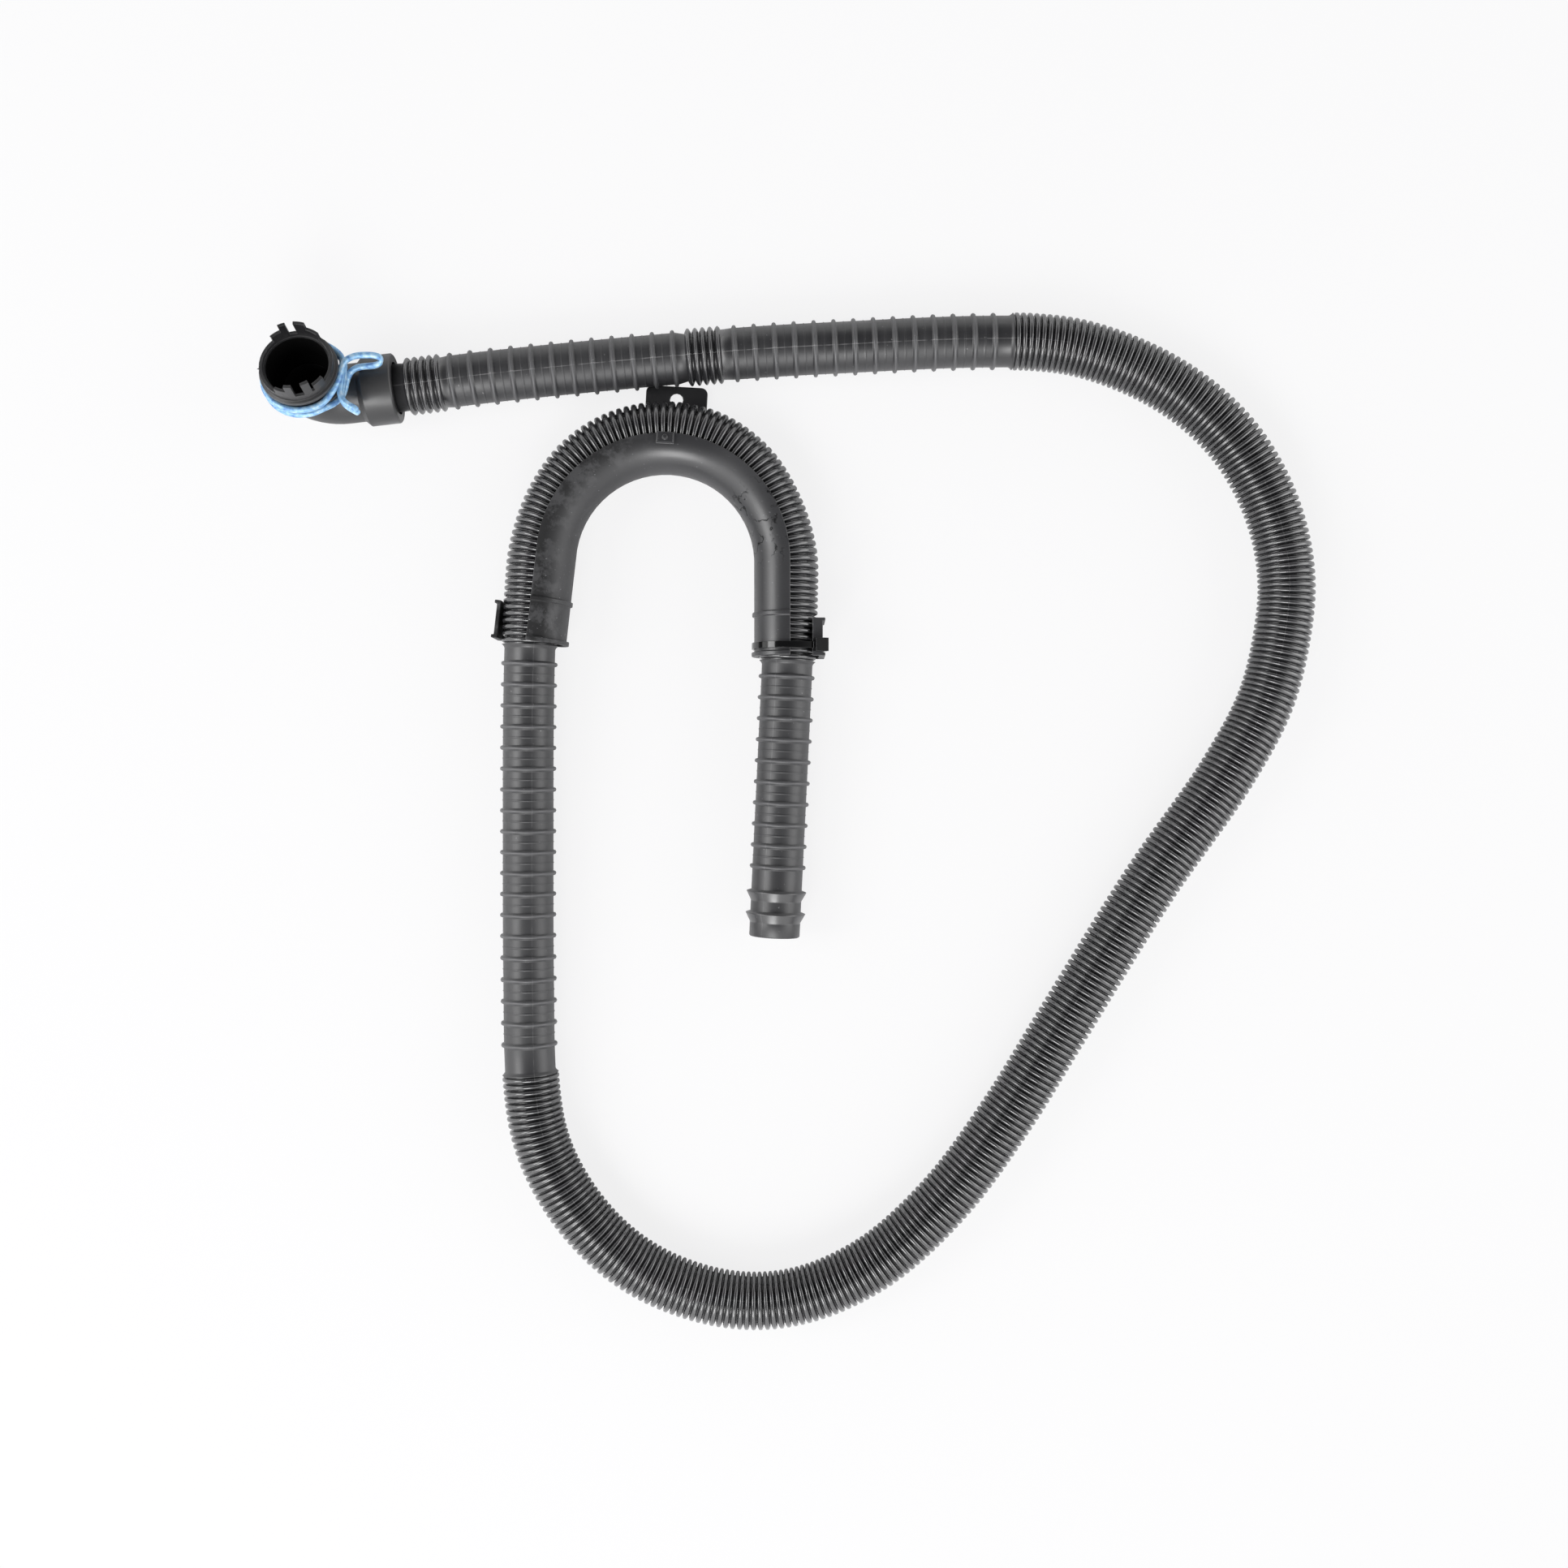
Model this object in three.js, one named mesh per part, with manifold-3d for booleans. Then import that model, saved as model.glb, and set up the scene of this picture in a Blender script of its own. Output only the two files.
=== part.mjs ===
// Washing machine drain hose: a moulded plastic hose with bellows, barbs and two long
// corrugated stretches, a rubber elbow with a castellated mouth at one end, a sprung
// wire clamp on the elbow, a hook shaped hanger that holds the hose in a U, and a
// cable tie that straps it there. It lies on the floor as it comes out of its bag.
// Millimetres, +Z up. The floor is z = 0, and the origin is on it, under the middle
// of the elbow, clamp, hanger and tie.

import * as THREE from "three";
import { mergeVertices } from "three/addons/utils/BufferGeometryUtils.js";
import Module from "manifold-3d";

const wasm = await Module();
wasm.setup();

// Hose
const hoseDiameter = 31.75;
const hosePlainDiameter = 28.2;
const hoseValleyDiameter = 27.4;
const hoseBarbDiameter = 33.4;
const hoseBore = 25.4;
const hoseInElbow = 33.6;
const hoseSides = 12;
const hoseStep = 27;
const boreStep = 30;
const bellowsCount = 5;
const barbRise = 0.9;
const barbTaper = 5.2;

// Stretches of the hose, by distance from its end in the elbow. The folded ones are the
// long corrugated runs, drawn here as plain tube of their full diameter.
const hoseStretches = [
  { kind: "plain", from: 0, to: 17.6 },
  { kind: "bellows", from: 18.3, to: 39.1 },
  { kind: "plain", from: 39.8, to: 173.7 },
  { kind: "bellows", from: 174.4, to: 195.1 },
  { kind: "plain", from: 195.8, to: 354.6 },
  { kind: "folded", from: 357.2, to: 1303.4 },
  { kind: "plain", from: 1306, to: 1540.6 },
  { kind: "folded", from: 1543.2, to: 1868.4 },
  { kind: "plain", from: 1871, to: 1996.3 },
  { kind: "barb", from: 1997.2, to: 2002.4 },
  { kind: "barb", from: 2009.2, to: 2014.4 },
];

// Elbow: cuff along x, mouth along z, both measured from where their axes meet
const elbowSlope = THREE.MathUtils.degToRad(6.6);
const elbowLean = THREE.MathUtils.degToRad(17);
const elbowBodyDiameter = 32.6;
const elbowBodyBore = 26.4;
const elbowBendRadius = 18;
const elbowSides = 28;
const elbowSteps = 14;
const elbowOverlap = 1;
const cuffWall = 4.8;
const cuffClearance = 0.35;
const cuffLength = 18;
const cuffStart = 28.2;
const cuffChamfer = 1.6;
const cuffSeatDepth = 13;
const cuffNib = 2.6;
const neckDiameter = 38.4;
const neckTop = 30.4;
const neckSlope = 3;
const neckInset = 0.2;
const flangeDiameter = 43;
const flangeThickness = 2;
const flangeBevel = 0.6;
const mouthDiameter = 40;
const mouthWall = 1.7;
const mouthBore = 34;
const mouthLedge = 2.5;
const mouthRise = 5.1;
const mouthNib = 1.4;
const nibSunk = 0.6;
const toothSunk = 0.5;
const tallTooth = 9.5;
const lowTooth = 4.5;
const roundSegments = 40;

// Teeth round the mouth, as start and end in degrees from the cuff, and their height
const mouthTeeth = [
  { from: 46, to: 67, height: lowTooth },
  { from: 67, to: 85, height: tallTooth },
  { from: 98, to: 110, height: tallTooth },
  { from: 110, to: 128, height: lowTooth },
  { from: 236, to: 256, height: lowTooth },
  { from: 256, to: 268, height: tallTooth },
  { from: 283, to: 296, height: tallTooth },
  { from: 300, to: 320, height: lowTooth },
];

// Spring clamp, bent from one wire
const clampWire = 3.6;
const clampSeatGap = 0.45;
const clampRingGap = 5;
const clampPairGap = 3.6;
const clampBelowFlange = 5;
const clampOpenAngle = 60;
const clampAngleStep = 20;
const clampSides = 8;
const clampSteps = 112;

// Hanger: a channel along a U, open on the outer side
const hangerBend = 66;
const hangerTurn = THREE.MathUtils.degToRad(-3.25);
const hangerSpread = THREE.MathUtils.degToRad(3.25);
const hangerLeg = 52;
const hangerWall = 2;
const channelClearance = 0.5;
const channelDepth = 16.4;
const channelLip = 3.7;
const hangerSteps = 44;
const rimHeight = 1.5;
const rimWidth = 2.4;
const ribPlace = 22;
const ribHeight = 1.1;
const clipWall = 2.2;
const clipLength = 21;
const leftClipReach = 23.6;
const leftClipHeight = 24;
const rightClipReach = 21.6;
const rightClipHeight = 30.4;
const hookLength = 3.6;
const hookThickness = 1.8;
const clipFlangeReach = 1.4;
const clipFlangeWidth = 1.8;
const tabWidth = 34.8;
const tabReach = 36.3;
const tabThickness = 2;
const tabCorner = 3.7;
const tabHole = 7.5;
const tabHoleFromEdge = 7.6;
const bossPlace = -2.6;
const bossLength = 9;
const bossWidth = 5.8;
const bossHeight = 1.8;
const bossPin = 2.6;

// Cable tie round the hanger's right leg
const tieWidth = 3.6;
const tieThickness = 1.1;
const tieClearance = 0.3;
const tieFromRim = 1.6;
const tieHead = 7.4;
const tieHeadDepth = 5.2;
const tieHeadPast = 1.2;

// Heights over the floor
const hoseRadius = hoseDiameter / 2;
const cuffDiameter = hosePlainDiameter + 2 * (cuffClearance + cuffWall);
const channelInside = hoseRadius + channelClearance;
const channelOutside = channelInside + hangerWall;
const elbowHeight = cuffDiameter / 2;
const hangerHeight = channelOutside + rimHeight;

// Places on the floor, from the middle of the view
const elbowToHangerAcross = 195.2;
const elbowToHangerAlong = 92.5;
const hangerPlace = new THREE.Vector3(-66.2, 122.7, hangerHeight);
const elbowPlace = new THREE.Vector3(
  hangerPlace.x - elbowToHangerAcross,
  hangerPlace.y + elbowToHangerAlong,
  elbowHeight,
);
const standMiddle = new THREE.Vector3(-130.25, 159.35, 0);

// The hose leaves the cuff straight, so its first places are measured from the elbow
const outOfElbow = [0, 14.3, 28.7].map((distance) => [
  elbowPlace.x + (hoseInElbow + distance) * Math.cos(elbowSlope),
  elbowPlace.y + (hoseInElbow + distance) * Math.sin(elbowSlope),
  elbowPlace.z,
]);

// The rest of its route, round the loop and over the hanger, as it lies in the view
const hoseRoute = [
  ...outOfElbow,
  [-166.0, 226.8, 18.4],
  [-98.4, 234.2, 16.2],
  [-16.8, 241.2, 15.95],
  [39.5, 244.3, 15.95],
  [84.8, 246.5, 15.95],
  [112.5, 247.2, 15.95],
  [139.7, 246.9, 15.95],
  [163.0, 244.0, 15.95],
  [186.8, 236.8, 15.95],
  [211.4, 225.3, 15.95],
  [233.6, 209.9, 15.95],
  [252.4, 190.6, 15.95],
  [266.6, 167.8, 15.95],
  [276.2, 142.6, 15.95],
  [280.6, 117.0, 15.95],
  [279.6, 92.0, 15.95],
  [269.8, 48.5, 15.95],
  [247.5, 6.1, 15.95],
  [204.9, -55.0, 15.95],
  [154.0, -137.0, 15.95],
  [125.5, -183.3, 15.95],
  [93.6, -227.3, 15.95],
  [61.0, -259.5, 15.95],
  [38.3, -274.4, 15.95],
  [15.3, -284.1, 15.95],
  [-7.1, -288.5, 15.95],
  [-30.0, -288.0, 15.95],
  [-53.0, -282.7, 15.95],
  [-76.0, -272.8, 15.95],
  [-96.1, -258.7, 15.95],
  [-114.5, -239.0, 15.95],
  [-128.8, -216.1, 15.95],
  [-136.8, -195.0, 15.95],
  [-141.2, -167.0, 15.95],
  [-142.7, -110.0, 15.95],
  [-142.9, -30.0, 16.4],
  [-142.4, 40.0, 18.6],
  [-141.3, 80.0, 19.85],
  [-139.9, 106.0, 19.85],
  [-137.3, 131.0, 19.85],
  [-128.4, 157.0, 19.85],
  [-113.6, 178.0, 19.85],
  [-92.5, 191.9, 19.85],
  [-66.5, 197.0, 19.85],
  [-40.5, 191.8, 19.85],
  [-19.2, 176.4, 19.85],
  [-5.4, 154.6, 19.85],
  [2.6, 129.0, 19.85],
  [3.1, 104.0, 19.85],
  [1.9, 70.0, 19.85],
  [-0.6, 15.0, 19.0],
  [-3.0, -35.0, 18.0],
  [-5.4, -85.0, 17.0],
];

const hosePlastic = new THREE.MeshStandardMaterial({ color: 0x3c3d40, roughness: 0.45, metalness: 0 });
const elbowRubber = new THREE.MeshStandardMaterial({ color: 0x2b2b2c, roughness: 0.6, metalness: 0 });
const clampSteel = new THREE.MeshStandardMaterial({ color: 0x86b6e0, roughness: 0.3, metalness: 0.9 });
const hangerPlastic = new THREE.MeshStandardMaterial({ color: 0x2f3032, roughness: 0.4, metalness: 0 });
const tieNylon = new THREE.MeshStandardMaterial({ color: 0x1d1d1f, roughness: 0.3, metalness: 0 });

// Solids: a closed geometry becomes a solid that can be joined and cut
function toSolid(geometry) {
  const bare = geometry.index ? geometry.toNonIndexed() : geometry.clone();
  bare.deleteAttribute("normal");
  bare.deleteAttribute("uv");
  const merged = mergeVertices(bare, 1e-4);
  return new wasm.Manifold(
    new wasm.Mesh({
      numProp: 3,
      vertProperties: merged.attributes.position.array,
      triVerts: new Uint32Array(merged.index.array),
    }),
  );
}

function toGeometry(solid) {
  const mesh = solid.getMesh();
  const geometry = new THREE.BufferGeometry();
  geometry.setAttribute("position", new THREE.BufferAttribute(new Float32Array(mesh.vertProperties), 3));
  geometry.setIndex(new THREE.BufferAttribute(new Uint32Array(mesh.triVerts), 1));
  return geometry;
}

function join(solids) {
  return solids.reduce((whole, solid) => whole.add(solid));
}

function cut(solid, tools) {
  return tools.reduce((left, tool) => left.subtract(tool), solid);
}

function named(name, geometry, material) {
  const mesh = new THREE.Mesh(geometry, material);
  mesh.name = name;
  return mesh;
}

function circle(radius, sides) {
  const points = [];
  for (let i = 0; i < sides; i++) {
    const angle = (2 * Math.PI * i) / sides;
    points.push(new THREE.Vector2(radius * Math.cos(angle), radius * Math.sin(angle)));
  }
  return points;
}

function sweep(points, path, steps) {
  return new THREE.ExtrudeGeometry(new THREE.Shape(points), { steps, extrudePath: path, bevelEnabled: false });
}

// A solid of revolution about z, from [radius, height] pairs that start and end on the axis
function turnedAboutZ(profile) {
  const points = profile.map(([radius, height]) => new THREE.Vector2(radius, height));
  return new THREE.LatheGeometry(points, roundSegments).rotateX(Math.PI / 2);
}

function turnedAboutX(profile) {
  return turnedAboutZ(profile).rotateY(Math.PI / 2);
}

// The outside of the hose, as [distance from its end in the elbow, radius]
function hoseProfile(length) {
  const plain = hosePlainDiameter / 2;
  const valley = hoseValleyDiameter / 2;
  const crest = hoseDiameter / 2;
  const profile = [];
  const level = (from, to, radius) => {
    const spans = Math.ceil((to - from) / hoseStep);
    for (let i = 0; i <= spans; i++) profile.push([from + ((to - from) * i) / spans, radius]);
  };
  for (const { kind, from, to } of hoseStretches) {
    if (kind === "plain") level(from, to, plain);
    if (kind === "folded") level(from, to, crest);
    if (kind === "barb") profile.push([from - barbRise, plain], [from, hoseBarbDiameter / 2], [from + barbTaper, plain]);
    if (kind === "bellows") {
      const pitch = (to - from) / bellowsCount;
      for (let i = 0; i < bellowsCount; i++) {
        const start = from + i * pitch;
        profile.push([start, valley], [start + 0.3 * pitch, crest], [start + 0.7 * pitch, crest]);
      }
      profile.push([to, valley]);
    }
  }
  profile.push([length, plain]);
  return profile;
}

// Hose: rings along the route, out on the profile and back along the bore
function makeHose() {
  const route = new THREE.CatmullRomCurve3(
    hoseRoute.map(([x, y, z]) => new THREE.Vector3(x, y, z)),
    false,
    "centripetal",
  );
  route.arcLengthDivisions = 4000;
  const length = route.getLength();
  const boreSpans = Math.ceil(length / boreStep);
  const rings = hoseProfile(length);
  for (let i = boreSpans; i >= 0; i--) rings.push([(length * i) / boreSpans, hoseBore / 2]);
  const upright = new THREE.Vector3(0, 0, 1);
  const corners = rings.flatMap(([distance, radius]) => {
    const centre = route.getPointAt(distance / length);
    const ahead = route.getTangentAt(distance / length);
    const side = ahead.clone().cross(upright).normalize();
    const up = side.clone().cross(ahead);
    return circle(radius, hoseSides).flatMap(({ x, y }) =>
      centre.clone().addScaledVector(side, x).addScaledVector(up, y).toArray(),
    );
  });
  const faces = [];
  for (let ring = 0; ring < rings.length; ring++) {
    const near = ring * hoseSides;
    const far = ((ring + 1) % rings.length) * hoseSides;
    for (let i = 0; i < hoseSides; i++) {
      const next = (i + 1) % hoseSides;
      faces.push(near + i, far + next, near + next, near + i, far + i, far + next);
    }
  }
  const geometry = new THREE.BufferGeometry();
  geometry.setAttribute("position", new THREE.BufferAttribute(new Float32Array(corners), 3));
  geometry.setIndex(faces);
  return geometry;
}

// The elbow's centre line: along x from the cuff, round the bend and up z to the mouth
class ElbowLine extends THREE.Curve {
  constructor(start, top) {
    super();
    this.start = start;
    this.top = top;
  }
  getPoint(t, target = new THREE.Vector3()) {
    const run = this.start - elbowBendRadius;
    const bend = (Math.PI / 2) * elbowBendRadius;
    const rise = this.top - elbowBendRadius;
    const along = t * (run + bend + rise);
    if (along <= run) return target.set(this.start - along, 0, 0);
    if (along >= run + bend) return target.set(0, 0, elbowBendRadius + along - run - bend);
    const angle = (along - run) / elbowBendRadius;
    return target.set(elbowBendRadius * (1 - Math.sin(angle)), 0, elbowBendRadius * (1 - Math.cos(angle)));
  }
}

// A tooth of the mouth: a block between two radii and two angles
function mouthTooth({ from, to, height }, inner, outer, base) {
  const start = THREE.MathUtils.degToRad(from);
  const end = THREE.MathUtils.degToRad(to);
  const shape = new THREE.Shape();
  shape.absarc(0, 0, outer, start, end, false);
  shape.absarc(0, 0, inner, end, start, true);
  shape.closePath();
  const depth = height + toothSunk;
  const block = new THREE.ExtrudeGeometry(shape, { depth, bevelEnabled: false, curveSegments: 3 });
  return block.translate(0, 0, base - toothSunk);
}

// Elbow: one moulding of body, cuff and neck, bored right through and seated for the
// hose, with teeth and a small nib round the mouth and a nib on the cuff
function makeElbow() {
  const bodyRadius = elbowBodyDiameter / 2;
  const neckRadius = neckDiameter / 2;
  const cuffRadius = cuffDiameter / 2;
  const mouthRadius = mouthDiameter / 2;
  const cuffEnd = cuffStart + cuffLength;
  const flangeTop = neckTop + flangeThickness;
  const mouthTop = flangeTop + mouthRise;
  const ledge = mouthTop - mouthLedge;
  const seatRadius = hosePlainDiameter / 2 + cuffClearance;
  const seatEnd = cuffEnd - cuffSeatDepth;
  const bodyLine = new ElbowLine(cuffStart + cuffChamfer, elbowBendRadius + elbowOverlap);
  const body = sweep(circle(bodyRadius, elbowSides), bodyLine, elbowSteps);
  const cuff = turnedAboutX([
    [0, cuffStart - cuffChamfer],
    [bodyRadius - neckInset, cuffStart - cuffChamfer],
    [cuffRadius - cuffChamfer, cuffStart],
    [cuffRadius, cuffStart + cuffChamfer],
    [cuffRadius, cuffEnd - cuffChamfer / 2],
    [cuffRadius - cuffChamfer / 2, cuffEnd],
    [0, cuffEnd],
  ]);
  const neck = turnedAboutZ([
    [0, elbowBendRadius - neckSlope],
    [bodyRadius - neckInset, elbowBendRadius - neckSlope],
    [neckRadius, elbowBendRadius],
    [neckRadius, neckTop],
    [flangeDiameter / 2, neckTop],
    [flangeDiameter / 2, flangeTop],
    [mouthRadius, flangeTop + flangeBevel],
    [mouthRadius, mouthTop],
    [0, mouthTop],
  ]);
  const seat = turnedAboutX([
    [0, seatEnd],
    [seatRadius, seatEnd],
    [seatRadius, cuffEnd + elbowOverlap],
    [0, cuffEnd + elbowOverlap],
  ]);
  const mouth = turnedAboutZ([
    [0, elbowBendRadius - elbowOverlap],
    [elbowBodyBore / 2, elbowBendRadius - elbowOverlap],
    [mouthBore / 2, elbowBendRadius + neckSlope],
    [mouthBore / 2, ledge],
    [mouthRadius - mouthWall, ledge],
    [mouthRadius - mouthWall, mouthTop + elbowOverlap],
    [0, mouthTop + elbowOverlap],
  ]);
  const boreLine = new ElbowLine(seatEnd + elbowOverlap, elbowBendRadius + elbowOverlap);
  const bore = sweep(circle(elbowBodyBore / 2, elbowSides), boreLine, elbowSteps);
  const shell = cut(join([body, cuff, neck].map(toSolid)), [seat, mouth, bore].map(toSolid));
  const teeth = mouthTeeth.map((tooth) =>
    toSolid(mouthTooth(tooth, mouthRadius - mouthWall, mouthRadius, mouthTop)),
  );
  const cuffMark = new THREE.BoxGeometry(cuffNib, 1.6, 1.2).translate(cuffEnd - 6, cuffRadius + 0.1, 1);
  const mouthMark = new THREE.ConeGeometry(0.8, mouthNib + nibSunk, 6).rotateZ(Math.PI / 2);
  mouthMark.translate(-mouthRadius - (mouthNib - nibSunk) / 2, 0, mouthTop - 1);
  return toGeometry(join([shell, ...teeth, ...[cuffMark, mouthMark].map(toSolid)]));
}

// Clamp: from one tip of the free tang, round the upper ring, out and back along the
// folded tang, round the lower ring, and out to the other tip
function makeClamp() {
  const ring = neckDiameter / 2 + clampSeatGap + clampWire / 2;
  const upper = neckTop - clampBelowFlange;
  const lower = upper - clampRingGap;
  const middle = (upper + lower) / 2;
  const near = clampPairGap / 2;
  const points = [];
  const place = (x, y, z) => points.push(new THREE.Vector3(x, y, z));
  const turn = (height, from, to, step) => {
    for (let angle = from; Math.sign(step) * (to - angle) >= 0; angle += step) {
      const radians = THREE.MathUtils.degToRad(angle);
      place(ring * Math.cos(radians), ring * Math.sin(radians), height);
    }
  };
  place(ring + 8, -25.1, middle + near);
  place(ring + 4.2, -22, middle + near);
  place(ring + 0.4, -18.8, middle + near);
  place(ring - 1.5, -13.1, middle + near);
  place(ring - 0.9, -8.7, middle + near);
  place(ring + 0.1, -1.4, middle + near);
  place(ring + 0.9, 6.5, middle + near);
  place(ring - 1, 10.8, middle + near + 0.3);
  turn(upper, clampOpenAngle, 360 - clampOpenAngle, clampAngleStep);
  place(ring - 2.6, -10.6, middle + 5.4);
  place(ring + 0.2, -3.8, middle + 5.6);
  place(ring + 1.5, 1.5, middle + 5.6);
  place(ring + 3.7, 4.5, middle + 5.3);
  place(ring + 8.6, 6.6, middle + 4.7);
  place(ring + 15.4, 6.6, middle + 3.9);
  place(ring + 20, 6.1, middle + 3);
  place(ring + 22.9, 4.3, middle + 1.5);
  place(ring + 20, 2.5, middle - 0.2);
  place(ring + 14.6, 2.9, middle - 1.3);
  place(ring + 9, 3.2, middle - 1.5);
  place(ring + 4.9, 2.3, middle - 2.3);
  place(ring + 1.7, -1.2, middle - 4.1);
  place(ring - 0.2, -6.7, middle - 5.3);
  place(ring - 2, -11.4, middle - 5.3);
  place(ring - 7.6, -16.8, middle - 3.7);
  turn(lower, 360 - clampOpenAngle, clampOpenAngle, -clampAngleStep);
  place(ring - 1, 10.8, middle - near - 0.3);
  place(ring + 0.9, 6.5, middle - near);
  place(ring + 0.1, -1.4, middle - near);
  place(ring - 0.9, -8.7, middle - near);
  place(ring - 1.5, -13.1, middle - near);
  place(ring + 0.4, -18.8, middle - near);
  place(ring + 4.2, -22, middle - near);
  place(ring + 8, -25.1, middle - near);
  const line = new THREE.CatmullRomCurve3(points, false, "centripetal");
  return sweep(circle(clampWire / 2, clampSides), line, clampSteps);
}

// The hanger's guide line: the left leg up, the bend, and the right leg down
class HangerLine extends THREE.Curve {
  getPoint(t, target = new THREE.Vector3()) {
    const arc = hangerBend * (Math.PI - 2 * hangerSpread);
    const along = t * (2 * hangerLeg + arc);
    const past = Math.max(along - hangerLeg - arc, 0);
    const before = Math.max(hangerLeg - along, 0);
    const bent = Math.min(Math.max(along - hangerLeg, 0), arc);
    const angle = Math.PI - hangerSpread - bent / hangerBend;
    const down = past + before;
    const side = past > 0 ? 1 : -1;
    return target.set(
      hangerBend * Math.cos(angle) + side * down * Math.sin(hangerSpread),
      hangerBend * Math.sin(angle) - down * Math.cos(hangerSpread),
      0,
    );
  }
}

// The channel's section, as [out, up] from the guide line: flat lips that roll into a
// round back. grow makes the outer side larger, for the rims across the legs.
function channelOutline(grow) {
  const outside = channelOutside + grow;
  const back = channelDepth + grow;
  const turns = 12;
  const outline = [[channelLip, outside]];
  for (let i = 0; i <= turns; i++) {
    const angle = Math.PI / 2 + (Math.PI * i) / turns;
    outline.push([back * Math.cos(angle), outside * Math.sin(angle)]);
  }
  outline.push([channelLip, -outside], [channelLip, -channelInside]);
  for (let i = turns; i >= 0; i--) {
    const angle = Math.PI / 2 + (Math.PI * i) / turns;
    outline.push([(channelDepth - hangerWall) * Math.cos(angle), channelInside * Math.sin(angle)]);
  }
  outline.push([channelLip, channelInside]);
  return outline;
}

// Pieces on a leg are drawn as [out, up] and extruded from one place on the leg to another
function onLeg(side, outline, from, to) {
  const shape = new THREE.Shape(outline.map(([out, up]) => new THREE.Vector2(out, up)));
  return placedOnLeg(side, shape, from, to);
}

function placedOnLeg(side, shape, from, to) {
  const out = new THREE.Vector3(side * Math.cos(hangerSpread), Math.sin(hangerSpread), 0);
  const leg = new THREE.Vector3(-side * Math.sin(hangerSpread), Math.cos(hangerSpread), 0);
  const up = new THREE.Vector3(0, 0, 1);
  const start = side > 0 ? to : from;
  const end = out.clone().multiplyScalar(hangerBend).addScaledVector(leg, start - hangerLeg);
  const geometry = new THREE.ExtrudeGeometry(shape, { depth: to - from, bevelEnabled: false, curveSegments: 8 });
  const frame = new THREE.Matrix4().makeBasis(out, up, out.clone().cross(up)).setPosition(end);
  return geometry.applyMatrix4(frame);
}

function rectangle(left, right, bottom, top) {
  return [
    [left, bottom],
    [right, bottom],
    [right, top],
    [left, top],
  ];
}

// Hanger: one moulding of the channel, a rim and a rib across each leg, an open clip
// round each leg's end, a hook on the right clip, the tab and a small boss with a pin
function makeHanger() {
  const section = channelOutline(0).map(([out, up]) => new THREE.Vector2(-up, out));
  const pieces = [sweep(section, new HangerLine(), hangerSteps)];
  const floorOfClip = -channelOutside;
  const clips = [
    { side: -1, reach: leftClipReach, height: leftClipHeight },
    { side: 1, reach: rightClipReach, height: rightClipHeight },
  ];
  for (const { side, reach, height } of clips) {
    const inside = reach - clipWall;
    const top = floorOfClip + height;
    pieces.push(onLeg(side, channelOutline(rimHeight), 0, rimWidth));
    pieces.push(onLeg(side, channelOutline(ribHeight), ribPlace, ribPlace + rimWidth));
    pieces.push(onLeg(side, rectangle(0, reach, floorOfClip, floorOfClip + hangerWall), 0, clipLength));
    pieces.push(onLeg(side, rectangle(inside, reach, floorOfClip, top), 0, clipLength));
    for (const place of [0, clipLength - clipFlangeWidth]) {
      const flange = rectangle(inside, reach + clipFlangeReach, floorOfClip, top);
      pieces.push(onLeg(side, flange, place, place + clipFlangeWidth));
    }
  }
  const hookTop = floorOfClip + rightClipHeight;
  const hookTip = rightClipReach - clipWall - hookLength;
  pieces.push(onLeg(1, rectangle(hookTip, rightClipReach, hookTop - hookThickness, hookTop), 0, clipLength));
  const tab = new THREE.Shape();
  const half = tabWidth / 2;
  const edge = hangerBend + tabReach;
  tab.moveTo(-half, hangerBend);
  tab.lineTo(half, hangerBend);
  tab.lineTo(half, edge - tabCorner);
  tab.absarc(half - tabCorner, edge - tabCorner, tabCorner, 0, Math.PI / 2, false);
  tab.absarc(-half + tabCorner, edge - tabCorner, tabCorner, Math.PI / 2, Math.PI, false);
  tab.closePath();
  const hole = new THREE.Path();
  hole.absarc(0, edge - tabHoleFromEdge, tabHole / 2, 0, 2 * Math.PI, true);
  tab.holes.push(hole);
  const plate = new THREE.ExtrudeGeometry(tab, { depth: tabThickness, bevelEnabled: false, curveSegments: 6 });
  pieces.push(plate.translate(0, 0, -channelOutside));
  const boss = new THREE.BoxGeometry(bossLength, bossWidth, bossHeight + hangerWall);
  const bossTop = channelOutside + bossHeight;
  boss.translate(bossPlace, hangerBend + channelLip - bossWidth / 2, bossTop - (bossHeight + hangerWall) / 2);
  const pin = new THREE.CylinderGeometry(bossPin / 2, bossPin / 2, bossHeight, 16).rotateX(Math.PI / 2);
  pin.translate(bossPlace, hangerBend + channelLip - bossWidth / 2, bossTop + bossHeight / 4);
  pieces.push(boss, pin);
  return toGeometry(join(pieces.map(toSolid)));
}

// The tie follows the leg's outer outline and bridges the open side to the clip's top
function tieBridge(grow) {
  const lip = new THREE.Vector2(channelLip + grow / 2, channelOutside + grow);
  const corner = new THREE.Vector2(rightClipReach + grow, rightClipHeight - channelOutside + grow);
  return { lip, corner };
}

function tieOutline(grow) {
  const { lip, corner } = tieBridge(grow);
  const outside = channelOutside + grow;
  const shape = new THREE.Path();
  shape.moveTo(0, outside);
  shape.absellipse(0, 0, channelDepth + grow, outside, Math.PI / 2, (3 * Math.PI) / 2, false, 0);
  shape.absarc(rightClipReach, -channelOutside, grow, -Math.PI / 2, 0, false);
  shape.lineTo(corner.x, corner.y);
  shape.lineTo(lip.x, lip.y);
  shape.closePath();
  return shape.getPoints(8);
}

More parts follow.
